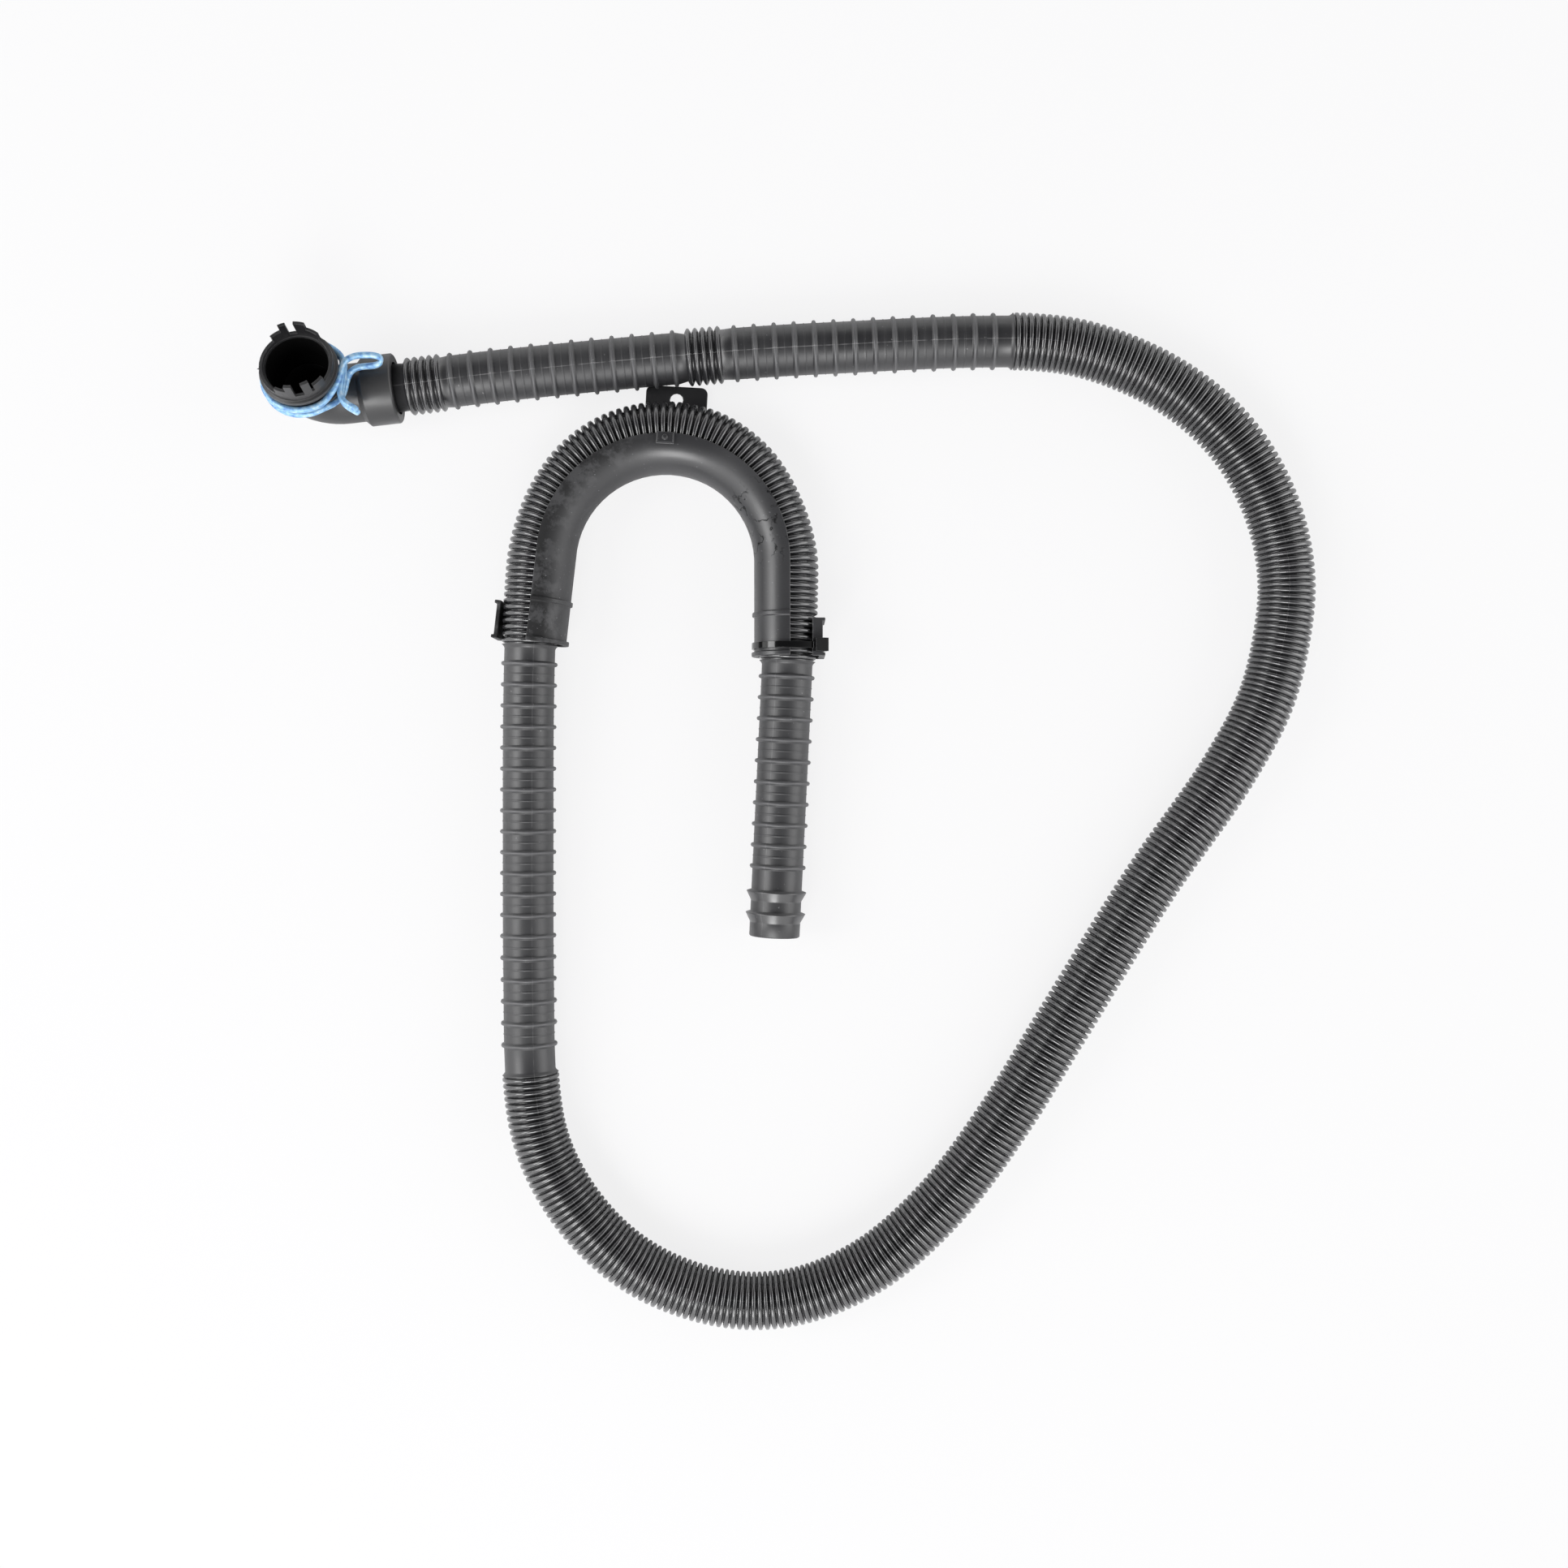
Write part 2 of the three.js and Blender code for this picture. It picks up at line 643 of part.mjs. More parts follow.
function makeTie() {
  const from = rimWidth + tieFromRim;
  const to = from + tieWidth;
  const band = new THREE.Shape(tieOutline(tieClearance + tieThickness));
  band.holes.push(new THREE.Path(tieOutline(tieClearance)));
  const strap = placedOnLeg(1, band, from, to);
  const { lip, corner } = tieBridge(tieClearance);
  const along = corner.clone().sub(lip).normalize();
  const outward = new THREE.Vector2(-along.y, along.x);
  const at = (run, rise) => corner.clone().addScaledVector(along, run).addScaledVector(outward, rise).toArray();
  const near = tieHeadPast - tieHead;
  const outline = [at(near, 0), at(tieHeadPast, 0), at(tieHeadPast, tieHeadDepth), at(near, tieHeadDepth)];
  const middle = (from + to) / 2;
  const head = onLeg(1, outline, middle - tieHead / 2, middle + tieHead / 2);
  return toGeometry(join([strap, head].map(toSolid)));
}

const elbowGroup = new THREE.Group();
elbowGroup.position.copy(elbowPlace);
elbowGroup.rotation.set(-elbowLean, 0, elbowSlope, "ZXY");
elbowGroup.add(named("elbow", makeElbow(), elbowRubber));
elbowGroup.add(named("spring_clamp", makeClamp(), clampSteel));

const hangerGroup = new THREE.Group();
hangerGroup.position.copy(hangerPlace);
hangerGroup.rotation.z = hangerTurn;
hangerGroup.add(named("hanger", makeHanger(), hangerPlastic));
hangerGroup.add(named("cable_tie", makeTie(), tieNylon));

const drainHose = new THREE.Group();
drainHose.position.copy(standMiddle).negate();
drainHose.add(named("hose", makeHose(), hosePlastic), elbowGroup, hangerGroup);

export default drainHose;
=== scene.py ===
"""A washing machine drain hose lying on a white studio floor, seen from straight above.

One ribbed and corrugated plastic hose runs from a rubber elbow round a wide loop, over a
hook shaped hanger and back to its barbed outlet. A blue sprung wire clamp sits on the
elbow and a cable tie holds the hose in the hanger. Metres, +Z up, floor at z = 0.
"""

import math

import bmesh
import bpy
import numpy as np
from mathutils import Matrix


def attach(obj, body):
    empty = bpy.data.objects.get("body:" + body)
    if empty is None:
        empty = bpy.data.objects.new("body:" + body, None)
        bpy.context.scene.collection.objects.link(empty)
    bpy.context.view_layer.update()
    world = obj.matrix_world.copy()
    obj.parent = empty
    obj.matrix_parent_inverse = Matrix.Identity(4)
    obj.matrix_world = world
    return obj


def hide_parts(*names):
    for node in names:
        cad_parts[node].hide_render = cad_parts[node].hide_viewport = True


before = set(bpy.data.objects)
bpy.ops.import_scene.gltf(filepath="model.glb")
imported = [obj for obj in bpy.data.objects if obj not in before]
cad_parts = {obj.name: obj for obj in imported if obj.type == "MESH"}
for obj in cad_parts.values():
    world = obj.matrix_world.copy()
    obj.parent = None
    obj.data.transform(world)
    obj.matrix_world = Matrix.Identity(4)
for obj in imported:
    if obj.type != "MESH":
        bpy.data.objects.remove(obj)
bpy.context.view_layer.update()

# Hose: one blow moulded polypropylene tube, about two metres long. Its wall is thin and
# folds into corrugations where it bends, into spaced ribs where it has to stay straight,
# and into two saw tooth barbs at the outlet.
mm = 0.001
crest_radius = 15.875 * mm
fold_valley_radius = 13.2 * mm
bellows_valley_radius = 13.0 * mm
plain_radius = 14.1 * mm
rib_radius = 15.7 * mm
barb_radius = 16.7 * mm
bore_radius = 12.7 * mm
fold_share = 0.84
rib_half_width = 1.35 * mm
faint_line_height = 0.28 * mm
faint_line_half_width = 0.4 * mm
lip_width = 2.6 * mm
end_chamfer = 0.5 * mm
hose_sides = 28
bellows_steps = 12
bore_stations = 160
steps_per_span = 60

# Each stretch as its kind, the place of its first and last ring along the hose, and
# how many rings it has, from the elbow to the outlet.
hose_stretches = [
    ("bellows", 18.3 * mm, 39.1 * mm, 5),
    ("ribs", 44.3 * mm, 167.9 * mm, 12),
    ("bellows", 174.4 * mm, 195.1 * mm, 5),
    ("ribs", 202.2 * mm, 346.0 * mm, 14),
    ("folds", 357.2 * mm, 1303.4 * mm, 272),
    ("ribs", 1320.2 * mm, 1380.8 * mm, 6),
    ("ribs", 1392.5 * mm, 1532.3 * mm, 13),
    ("folds", 1543.2 * mm, 1868.4 * mm, 91),
    ("ribs", 1877.7 * mm, 1983.4 * mm, 10),
    ("barbs", 1997.2 * mm, 2009.2 * mm, 2),
]

# The route lies as the photograph shows it, in millimetres from the middle of the view.
stand_middle = np.array([-130.25, 159.35, 0.0])
hose_route = [
    (-228.02, 219.06, 19.25),
    (-213.82, 220.71, 19.25),
    (-199.51, 222.36, 19.25),
    (-166.0, 226.8, 18.4),
    (-98.4, 234.2, 16.2),
    (-16.8, 241.2, 15.95),
    (39.5, 244.3, 15.95),
    (84.8, 246.5, 15.95),
    (112.5, 247.2, 15.95),
    (139.7, 246.9, 15.95),
    (163.0, 244.0, 15.95),
    (186.8, 236.8, 15.95),
    (211.4, 225.3, 15.95),
    (233.6, 209.9, 15.95),
    (252.4, 190.6, 15.95),
    (266.6, 167.8, 15.95),
    (276.2, 142.6, 15.95),
    (280.6, 117.0, 15.95),
    (279.6, 92.0, 15.95),
    (269.8, 48.5, 15.95),
    (247.5, 6.1, 15.95),
    (204.9, -55.0, 15.95),
    (154.0, -137.0, 15.95),
    (125.5, -183.3, 15.95),
    (93.6, -227.3, 15.95),
    (61.0, -259.5, 15.95),
    (38.3, -274.4, 15.95),
    (15.3, -284.1, 15.95),
    (-7.1, -288.5, 15.95),
    (-30.0, -288.0, 15.95),
    (-53.0, -282.7, 15.95),
    (-76.0, -272.8, 15.95),
    (-96.1, -258.7, 15.95),
    (-114.5, -239.0, 15.95),
    (-128.8, -216.1, 15.95),
    (-136.8, -195.0, 15.95),
    (-141.2, -167.0, 15.95),
    (-142.7, -110.0, 15.95),
    (-142.9, -30.0, 16.4),
    (-142.4, 40.0, 18.6),
    (-141.3, 80.0, 19.85),
    (-139.9, 106.0, 19.85),
    (-137.3, 131.0, 19.85),
    (-128.4, 157.0, 19.85),
    (-113.6, 178.0, 19.85),
    (-92.5, 191.9, 19.85),
    (-66.5, 197.0, 19.85),
    (-40.5, 191.8, 19.85),
    (-19.2, 176.4, 19.85),
    (-5.4, 154.6, 19.85),
    (2.6, 129.0, 19.85),
    (3.1, 104.0, 19.85),
    (1.9, 70.0, 19.85),
    (-0.6, 15.0, 19.0),
    (-3.0, -35.0, 18.0),
    (-5.4, -85.0, 17.0),
]


def smooth_route(points, per_span):
    """Carries a smooth line through the points. Each span is a cubic a + bt + ct2 + dt3
    whose end slopes come from its neighbours, with time between two points taken as the
    square root of their distance."""
    ends = np.vstack([2 * points[0] - points[1], points, 2 * points[-1] - points[-2]])
    gaps = np.sqrt(np.linalg.norm(np.diff(ends, axis=0), axis=1))[:, None]
    before, first, last, after = ends[:-3], ends[1:-2], ends[2:-1], ends[3:]
    lead, own, trail = gaps[:-2], gaps[1:-1], gaps[2:]
    leave = (first - before) / lead - (last - before) / (lead + own) + (last - first) / own
    arrive = (last - first) / own - (after - first) / (own + trail) + (after - last) / trail
    leave, arrive = leave * own, arrive * own
    t = (np.arange(per_span) / per_span)[None, :, None]
    a, b = first[:, None], leave[:, None]
    c = (3 * (last - first) - 2 * leave - arrive)[:, None]
    d = (2 * (first - last) + leave + arrive)[:, None]
    line = a + b * t + c * t**2 + d * t**3
    return np.vstack([line.reshape(-1, 3), points[-1]])


def distances_along(line):
    """The running sum of the distances between the points of a line."""
    steps = np.linalg.norm(np.diff(line, axis=0), axis=1)
    return np.concatenate([[0.0], np.cumsum(steps)])


def points_along(line, places):
    """The points of a line at these distances from its start."""
    at = distances_along(line)
    return np.stack([np.interp(places, at, line[:, axis]) for axis in range(3)], axis=1)


def repeated_rings(start, stop, count, phase, valley_radius, rise):
    """The same rings over and over: at each phase of each pitch the radius lies between
    the valley and the crest by its rise."""
    places = start + (stop - start) / count * (np.arange(count)[:, None] + phase)
    radii = np.broadcast_to(valley_radius + (crest_radius - valley_radius) * rise, places.shape)
    return places.ravel(), radii.ravel()


def folded_rings(start, stop, count):
    """Corrugations: broad round crests, rise = square root of 1 - |across| cubed, which
    fill most of the pitch and leave a narrow slot between each two."""
    across = np.array([-1, -0.9, -0.55, 0, 0.55, 0.9, 1])
    rise = np.sqrt(1 - np.abs(across) ** 3)
    phase = 0.5 + fold_share / 2 * across
    return repeated_rings(start, stop, count, phase, fold_valley_radius, rise)


def bellows_rings(start, stop, count):
    """Bellows: round crests with sharp valleys, rise = sine of pi times the phase."""
    phase = np.linspace(0, 1, bellows_steps, endpoint=False)
    rise = np.sin(math.pi * phase)
    return repeated_rings(start, stop, count, phase, bellows_valley_radius, rise)


def ribbed_rings(start, stop, count):
    """Ribs: low round crests on the plain wall, rise = square root of 1 - across squared,
    with a faint raised line that the mould leaves midway between each two. A ring at the
    foot of each side keeps the wall between them flat."""
    centres = np.linspace(start, stop, count)
    across = np.array([-1.3, -1, -0.65, 0, 0.65, 1, 1.3])
    rise = np.sqrt(np.clip(1 - across**2, 0, 1))
    rib_places = centres[:, None] + rib_half_width * across
    rib_radii = plain_radius + (rib_radius - plain_radius) * rise
    rib_radii = np.broadcast_to(rib_radii, rib_places.shape)
    middles = (centres[1:] + centres[:-1]) / 2
    line_places = middles[:, None] + faint_line_half_width * np.array([-2, -1, 0, 1, 2])
    line_radii = plain_radius + faint_line_height * np.array([0, 0, 1, 0, 0])
    line_radii = np.broadcast_to(line_radii, line_places.shape)
    places = np.concatenate([rib_places.ravel(), line_places.ravel()])
    radii = np.concatenate([rib_radii.ravel(), line_radii.ravel()])
    order = np.argsort(places)
    return places[order], radii[order]


def barbed_rings(start, stop, count):
    """Barbs: the wall steps out to its widest, then tapers back like a saw tooth. Each
    offset along the hose has its rise from the plain wall to the barb's top."""
    tops = np.linspace(start, stop, count)
    offsets = np.array([-1.3, -0.9, -0.1, 0.15, 0.6, 4.8, 5.2, 5.7]) * mm
    rise = np.array([0, 0, 0.94, 1, 0.92, 0.06, 0.01, 0])
    radii = plain_radius + (barb_radius - plain_radius) * rise
    places = tops[:, None] + offsets
    return places.ravel(), np.broadcast_to(radii, places.shape).ravel()


def lip_rings(place, towards):
    """A rounded lip where a plain stretch opens out to a folded one: the radius falls from
    near the crest to the plain wall within one lip's width, towards the plain side."""
    offsets = np.array([0.15, 0.4, 0.7, 1.0]) * lip_width * towards
    rise = np.array([0.9, 0.5, 0.15, 0.0])
    radii = plain_radius + (crest_radius - plain_radius) * rise
    order = np.argsort(offsets)
    return place + offsets[order], radii[order]


route_line = smooth_route((np.array(hose_route) - stand_middle) * mm, steps_per_span)
hose_length = distances_along(route_line)[-1]

ring_makers = {
    "bellows": bellows_rings,
    "folds": folded_rings,
    "ribs": ribbed_rings,
    "barbs": barbed_rings,
}
ring_sets = [(np.array([0.0, end_chamfer]), np.array([plain_radius - end_chamfer, plain_radius]))]
for kind, start, stop, count in hose_stretches:
    if kind == "folds":
        ring_sets.append(lip_rings(start, -1))
    ring_sets.append(ring_makers[kind](start, stop, count))
    if kind == "folds":
        ring_sets.append(lip_rings(stop, 1))
ring_sets.append(
    (
        np.array([hose_length - end_chamfer, hose_length]),
        np.array([plain_radius, plain_radius - end_chamfer]),
    )
)
outer_places = np.concatenate([places for places, radii in ring_sets])
outer_radii = np.concatenate([radii for places, radii in ring_sets])
bore_places = np.linspace(hose_length, 0, bore_stations)
ring_places = np.concatenate([outer_places, bore_places])
ring_radii = np.concatenate([outer_radii, np.full(bore_stations, bore_radius)])


def tube_surface(line, places, radii, sides):
    """Carries circles along a line: point = centre + r (side cos a + up sin a). side is
    level and square to the line, and up is square to both."""
    reach = 0.4 * mm
    centres = points_along(line, places)
    ahead = points_along(line, places + reach) - points_along(line, places - reach)
    ahead /= np.linalg.norm(ahead, axis=1)[:, None]
    side = np.cross(ahead, [0.0, 0.0, 1.0])
    side /= np.linalg.norm(side, axis=1)[:, None]
    up = np.cross(side, ahead)
    angles = 2 * math.pi * np.arange(sides) / sides
    spoke = side[:, None] * np.cos(angles)[:, None] + up[:, None] * np.sin(angles)[:, None]
    return centres[:, None] + radii[:, None, None] * spoke


def closed_tube_mesh(name, points):
    """A mesh from a grid of rings, closed round each ring and from the last ring back to
    the first."""
    rings, sides = points.shape[:2]
    numbers = np.arange(rings * sides).reshape(rings, sides)
    near = np.roll(numbers, -1, axis=1)
    far = np.roll(numbers, -1, axis=0)
    opposite = np.roll(near, -1, axis=0)
    quads = np.stack([numbers, near, opposite, far], axis=2).reshape(-1, 4)
    mesh = bpy.data.meshes.new(name)
    mesh.vertices.add(rings * sides)
    mesh.vertices.foreach_set("co", points.ravel())
    mesh.loops.add(quads.size)
    mesh.loops.foreach_set("vertex_index", quads.ravel())
    mesh.polygons.add(len(quads))
    mesh.polygons.foreach_set("loop_start", np.arange(len(quads)) * 4)
    mesh.polygons.foreach_set("use_smooth", np.ones(len(quads), bool))
    mesh.update(calc_edges=True)
    mesh.validate()
    return mesh


def placed(name, mesh, material):
    """An object at the origin that shows this mesh in this material."""
    made = bpy.data.objects.new(name, mesh)
    bpy.context.scene.collection.objects.link(made)
    made.data.materials.clear()
    made.data.materials.append(material)
    return made


hose_points = tube_surface(route_line, ring_places, ring_radii, hose_sides)
hose_mesh = closed_tube_mesh("drain_hose", hose_points)

# The mould's two halves met along the top of the tube, and the tube turns a little as it
# is laid out. Each vertex keeps how far round from that seam it is, for its material.
seam_places = np.array([0, 360, 1320, 1531, 1870, 2022]) * mm
seam_turns = np.radians([84, 84, 74, 74, 66, 60])
ring_seams = np.interp(ring_places, seam_places, seam_turns)[:, None]
ring_angles = 2 * math.pi * np.arange(hose_sides) / hose_sides
from_seam = (ring_angles - ring_seams) * crest_radius
seam_attribute = hose_mesh.attributes.new("from_seam", "FLOAT", "POINT")
seam_attribute.data.foreach_set("value", from_seam.ravel().astype(np.float32))

# The seam stands out most near the elbow, where the mould was worn.
show_places = np.array([0, 350, 380, 2022]) * mm
show_shares = [1.0, 1.0, 0.35, 0.35]
ring_shows = np.interp(ring_places, show_places, show_shares)
show_attribute = hose_mesh.attributes.new("seam_shows", "FLOAT", "POINT")
show_attribute.data.foreach_set("value", np.repeat(ring_shows, hose_sides).astype(np.float32))

# Its folds have kept the gloss of the mould, its barbs some of it, and its plain wall
# none, so each vertex also keeps how glossy it is. The neck inside the cuff is as glossy
# as the folds.
barb_gloss_share = 0.6
ring_folded = np.zeros(len(ring_places), np.float32)
for kind, start, stop, count in hose_stretches:
    if kind in ("folds", "bellows"):
        ring_folded[(ring_places > start) & (ring_places < stop)] = 1.0
    if kind == "barbs":
        ring_folded[(ring_places > start) & (ring_radii > plain_radius)] = barb_gloss_share
ring_folded[ring_places < hose_stretches[0][1]] = 1.0
fold_attribute = hose_mesh.attributes.new("folded", "FLOAT", "POINT")
fold_attribute.data.foreach_set("value", np.repeat(ring_folded, hose_sides))

# Its ribs are painted paler along their crests, as a painted highlight, so each vertex also keeps
# how far up a rib
#  it stands.
ring_crest_highlight = np.zeros(len(ring_places), np.float32)
for kind, start, stop, count in hose_stretches:
    if kind == "ribs":
        near = (ring_places > start - rib_half_width) & (ring_places < stop + rib_half_width)
        rise = (ring_radii[near] - plain_radius) / (rib_radius - plain_radius)
        ring_crest_highlight[near] = np.clip(rise, 0, 1)
crest_highlight_attribute = hose_mesh.attributes.new("crest_highlight", "FLOAT", "POINT")
crest_highlight_attribute.data.foreach_set("value", np.repeat(ring_crest_highlight, hose_sides))


def linear(hex_colour):
    """The linear colour of an sRGB hex value, with alpha 1."""
    parts = np.array([int(hex_colour[i : i + 2], 16) for i in (1, 3, 5)]) / 255
    bright = ((parts + 0.055) / 1.055) ** 2.4
    return (*np.where(parts > 0.04045, bright, parts / 12.92).tolist(), 1.0)


def add_node(tree, kind, inputs=None, **settings):
    """Adds a node, gives it its settings, and sets or links each of its named inputs."""
    made = tree.nodes.new(kind)
    for name, value in settings.items():
        setattr(made, name, value)
    for name, value in (inputs or {}).items():
        if isinstance(value, bpy.types.NodeSocket):
            tree.links.new(value, made.inputs[name])
        else:
            made.inputs[name].default_value = value
    return made


def new_material(name):
    """An empty node material and its tree."""
    made = bpy.data.materials.new(name)
    made.use_nodes = True
    made.node_tree.nodes.clear()
    return made, made.node_tree


# Blow moulded polypropylene: satin, dark grey more than black, with a hazy bloom and a
# few pale specks where it has rubbed in its bag. Its folds are glossier than its plain
# wall. The real grain is finer than 0.5 mm, and is drawn that coarse so that it shows.
hose_dark = "#1f1f21"
hose_bloom = "#2d2d2f"
hose_speck = "#8b8a8b"
# Painted highlight: the colour of the rib crests.
hose_crest_highlight = "#4b4b4d"
bloom_size = 60 * mm
speck_size = 1.6 * mm
grain_size = 0.5 * mm
grain_depth = 0.1 * mm
hose_grain = 0.03
seam_half_width = 0.35 * mm
seam_core = 0.4 * seam_half_width
seam_wear_size = 6 * mm
seam_most = 0.42
plain_roughness = (0.36, 0.5)
fold_roughness = (0.2, 0.27)
plain_gloss = 0.5
fold_gloss = 0.85
moulded_ior = 1.6

hose_plastic, tree = new_material("blow_moulded_polypropylene")
where = add_node(tree, "ShaderNodeTexCoord").outputs["Object"]
bloom = add_node(
    tree, "ShaderNodeTexNoise", {"Vector": where, "Scale": 1 / bloom_size, "Detail": 3.0}
).outputs["Fac"]
specks = add_node(
    tree, "ShaderNodeTexNoise", {"Vector": where, "Scale": 1 / speck_size, "Detail": 2.0}
).outputs["Fac"]
speck_mask = add_node(
    tree,
    "ShaderNodeMapRange",
    {"Value": specks, "From Min": 0.73, "From Max": 0.8, "To Max": 0.7},
).outputs["Result"]
base = add_node(
    tree,
    "ShaderNodeMix",
    {"Factor": bloom, "A": linear(hose_dark), "B": linear(hose_bloom)},
    data_type="RGBA",
)
crest_highlight = add_node(tree, "ShaderNodeAttribute", attribute_name="crest_highlight").outputs["Fac"]
crest_highlight_share = add_node(
    tree, "ShaderNodeMapRange", {"Value": crest_highlight, "From Min": 0.7, "From Max": 1.0}
).outputs["Result"]
base = add_node(
    tree,
    "ShaderNodeMix",
    {"Factor": crest_highlight_share, "A": base.outputs["Result"], "B": linear(hose_crest_highlight)},
    data_type="RGBA",
)
seam_side = add_node(tree, "ShaderNodeAttribute", attribute_name="from_seam").outputs["Fac"]
seam_distance = add_node(
    tree, "ShaderNodeMath", {0: seam_side}, operation="ABSOLUTE"
).outputs["Value"]
seam_wear = add_node(
    tree, "ShaderNodeTexNoise", {"Vector": where, "Scale": 1 / seam_wear_size, "Detail": 2.0}
).outputs["Fac"]
seam_shows = add_node(tree, "ShaderNodeAttribute", attribute_name="seam_shows").outputs["Fac"]
seam_share = add_node(
    tree, "ShaderNodeMath", {0: seam_shows, 1: seam_most}, operation="MULTIPLY"
).outputs["Value"]
seam_strength = add_node(
    tree,
    "ShaderNodeMapRange",
    {"Value": seam_wear, "From Min": 0.34, "From Max": 0.6, "To Max": seam_share},
).outputs["Result"]
seam_mask = add_node(
    tree,
    "ShaderNodeMapRange",
    {
        "Value": seam_distance,
        "From Min": seam_core,
        "From Max": seam_half_width,
        "To Min": seam_strength,
        "To Max": 0.0,
    },
).outputs["Result"]
marks = add_node(
    tree, "ShaderNodeMath", {0: speck_mask, 1: seam_mask}, operation="MAXIMUM"
).outputs["Value"]
speckled = add_node(
    tree,
    "ShaderNodeMix",
    {"Factor": marks, "A": base.outputs["Result"], "B": linear(hose_speck)},
    data_type="RGBA",
)
grain = add_node(
    tree, "ShaderNodeTexNoise", {"Vector": where, "Scale": 1 / grain_size, "Detail": 2.0}
).outputs["Fac"]
grain_bump = add_node(
    tree, "ShaderNodeBump", {"Height": grain, "Strength": hose_grain, "Distance": grain_depth}
).outputs["Normal"]
folded = add_node(tree, "ShaderNodeAttribute", attribute_name="folded").outputs["Fac"]
least_rough, most_rough = [
    add_node(tree, "ShaderNodeMapRange", {"Value": folded, "To Min": plain, "To Max": fold})
    for plain, fold in zip(plain_roughness, fold_roughness)
]
hose_gloss = add_node(
    tree, "ShaderNodeMapRange", {"Value": folded, "To Min": plain_gloss, "To Max": fold_gloss}
).outputs["Result"]
sheen_patch = add_node(
    tree,
    "ShaderNodeMapRange",
    {
        "Value": bloom,
        "From Min": 0.3,
        "From Max": 0.7,
        "To Min": least_rough.outputs["Result"],
        "To Max": most_rough.outputs["Result"],
    },
).outputs["Result"]
plastic = add_node(
    tree,
    "ShaderNodeBsdfPrincipled",
    {
        "Base Color": speckled.outputs["Result"],
        "Roughness": sheen_patch,
        "Specular IOR Level": hose_gloss,
        "IOR": moulded_ior,
        "Normal": grain_bump,
    },
)
add_node(tree, "ShaderNodeOutputMaterial", {"Surface": plastic.outputs["BSDF"]})

hose = placed("drain_hose", hose_mesh, hose_plastic)
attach(hose, "root")
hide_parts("hose")


# Elbow: one piece of moulded rubber. A thick cuff grips the hose, and the mouth has a
# flange and a castellated rim that pushes onto the machine's outlet.
merge_reach = 0.12 * mm
sliver_width = 0.01 * mm
flat_angle = math.radians(0.6)
crisp_angle = math.radians(32)


def moulded_copy(node, name, material, sharp_angle, edge_round):
    """A CAD node's own surface with its triangles merged, its flat faces made whole and
    its edges over sharp_angle kept crisp. Those edges are rounded by edge_round, where it
    isn't zero."""
    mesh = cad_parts[node].data.copy()
    mesh.name = name
    shape = bmesh.new()
    shape.from_mesh(mesh)
    bmesh.ops.remove_doubles(shape, verts=shape.verts, dist=merge_reach)
    bmesh.ops.dissolve_degenerate(shape, dist=sliver_width, edges=shape.edges)
    bmesh.ops.dissolve_limit(
        shape, angle_limit=flat_angle, verts=shape.verts, edges=shape.edges
    )
    for edge in shape.edges:
        edge.smooth = len(edge.link_faces) == 2 and edge.calc_face_angle() < sharp_angle
    for face in shape.faces:
        face.smooth = True
    shape.to_mesh(mesh)
    shape.free()
    made = placed(name, mesh, material)
    if edge_round:
        bevel = made.modifiers.new("edge_round", "BEVEL")
        bevel.width = edge_round
        bevel.segments = 2
        bevel.limit_method = "ANGLE"
        bevel.angle_limit = sharp_angle
        bevel.harden_normals = True
        bevel.use_clamp_overlap = False
    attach(made, "root")
    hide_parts(node)
    return made


# Moulded rubber: matt black, with a slight grey bloom and a soft sheen on its curves. The
# material rounds its edges, because they are too close together for a bevel.
rubber_dark = "#121213"
rubber_bloom = "#262628"
rubber_bloom_size = 18 * mm
# Painted shade for the inside of the mouth.
bore_painted_shade = "#030303"
rubber_grain = 0.2
rubber_edge_round = 0.5 * mm
rubber_edge_samples = 8
rubber_roughness = (0.36, 0.52)
rubber_gloss = 0.5
bore_roughness = 1.0
bore_gloss = 0.05
mouth_place = (-132.11 * mm, 64.13 * mm, 46.5 * mm)
mouth_axis = (-0.0336, 0.2904, 0.9563)
mouth_bore_radius = 17.15 * mm
mouth_rim_height = 8.6 * mm
mouth_bend_depth = 14 * mm

elbow_rubber, tree = new_material("moulded_rubber")
where = add_node(tree, "ShaderNodeTexCoord").outputs["Object"]
bloom = add_node(
    tree, "ShaderNodeTexNoise", {"Vector": where, "Scale": 1 / rubber_bloom_size, "Detail": 4.0}
).outputs["Fac"]
base = add_node(
    tree,
    "ShaderNodeMix",
    {"Factor": bloom, "A": linear(rubber_dark), "B": linear(rubber_bloom)},
    data_type="RGBA",
)
soft_edges = add_node(
    tree, "ShaderNodeBevel", {"Radius": rubber_edge_round}, samples=rubber_edge_samples
).outputs["Normal"]
grain = add_node(
    tree, "ShaderNodeTexNoise", {"Vector": where, "Scale": 1 / grain_size, "Detail": 2.0}
).outputs["Fac"]
grain_bump = add_node(
    tree,
    "ShaderNodeBump",
    {
        "Height": grain,
        "Strength": rubber_grain,
        "Distance": grain_depth,
        "Normal": soft_edges,
    },
).outputs["Normal"]

# Inside its mouth the rubber is painted near black, as painted shade for the deep bore, and is
# made dull, with no bloom.
from_mouth = add_node(
    tree, "ShaderNodeVectorMath", {0: where, 1: mouth_place}, operation="SUBTRACT"
).outputs["Vector"]
along_mouth = add_node(
    tree, "ShaderNodeVectorMath", {0: from_mouth, 1: mouth_axis}, operation="DOT_PRODUCT"
).outputs["Value"]
off_axis = add_node(
    tree, "ShaderNodeVectorMath", {0: from_mouth, 1: mouth_axis}, operation="CROSS_PRODUCT"
).outputs["Vector"]
from_axis = add_node(
    tree, "ShaderNodeVectorMath", {0: off_axis}, operation="LENGTH"
).outputs["Value"]
in_bore = add_node(
    tree, "ShaderNodeMath", {0: from_axis, 1: mouth_bore_radius}, operation="LESS_THAN"
).outputs["Value"]
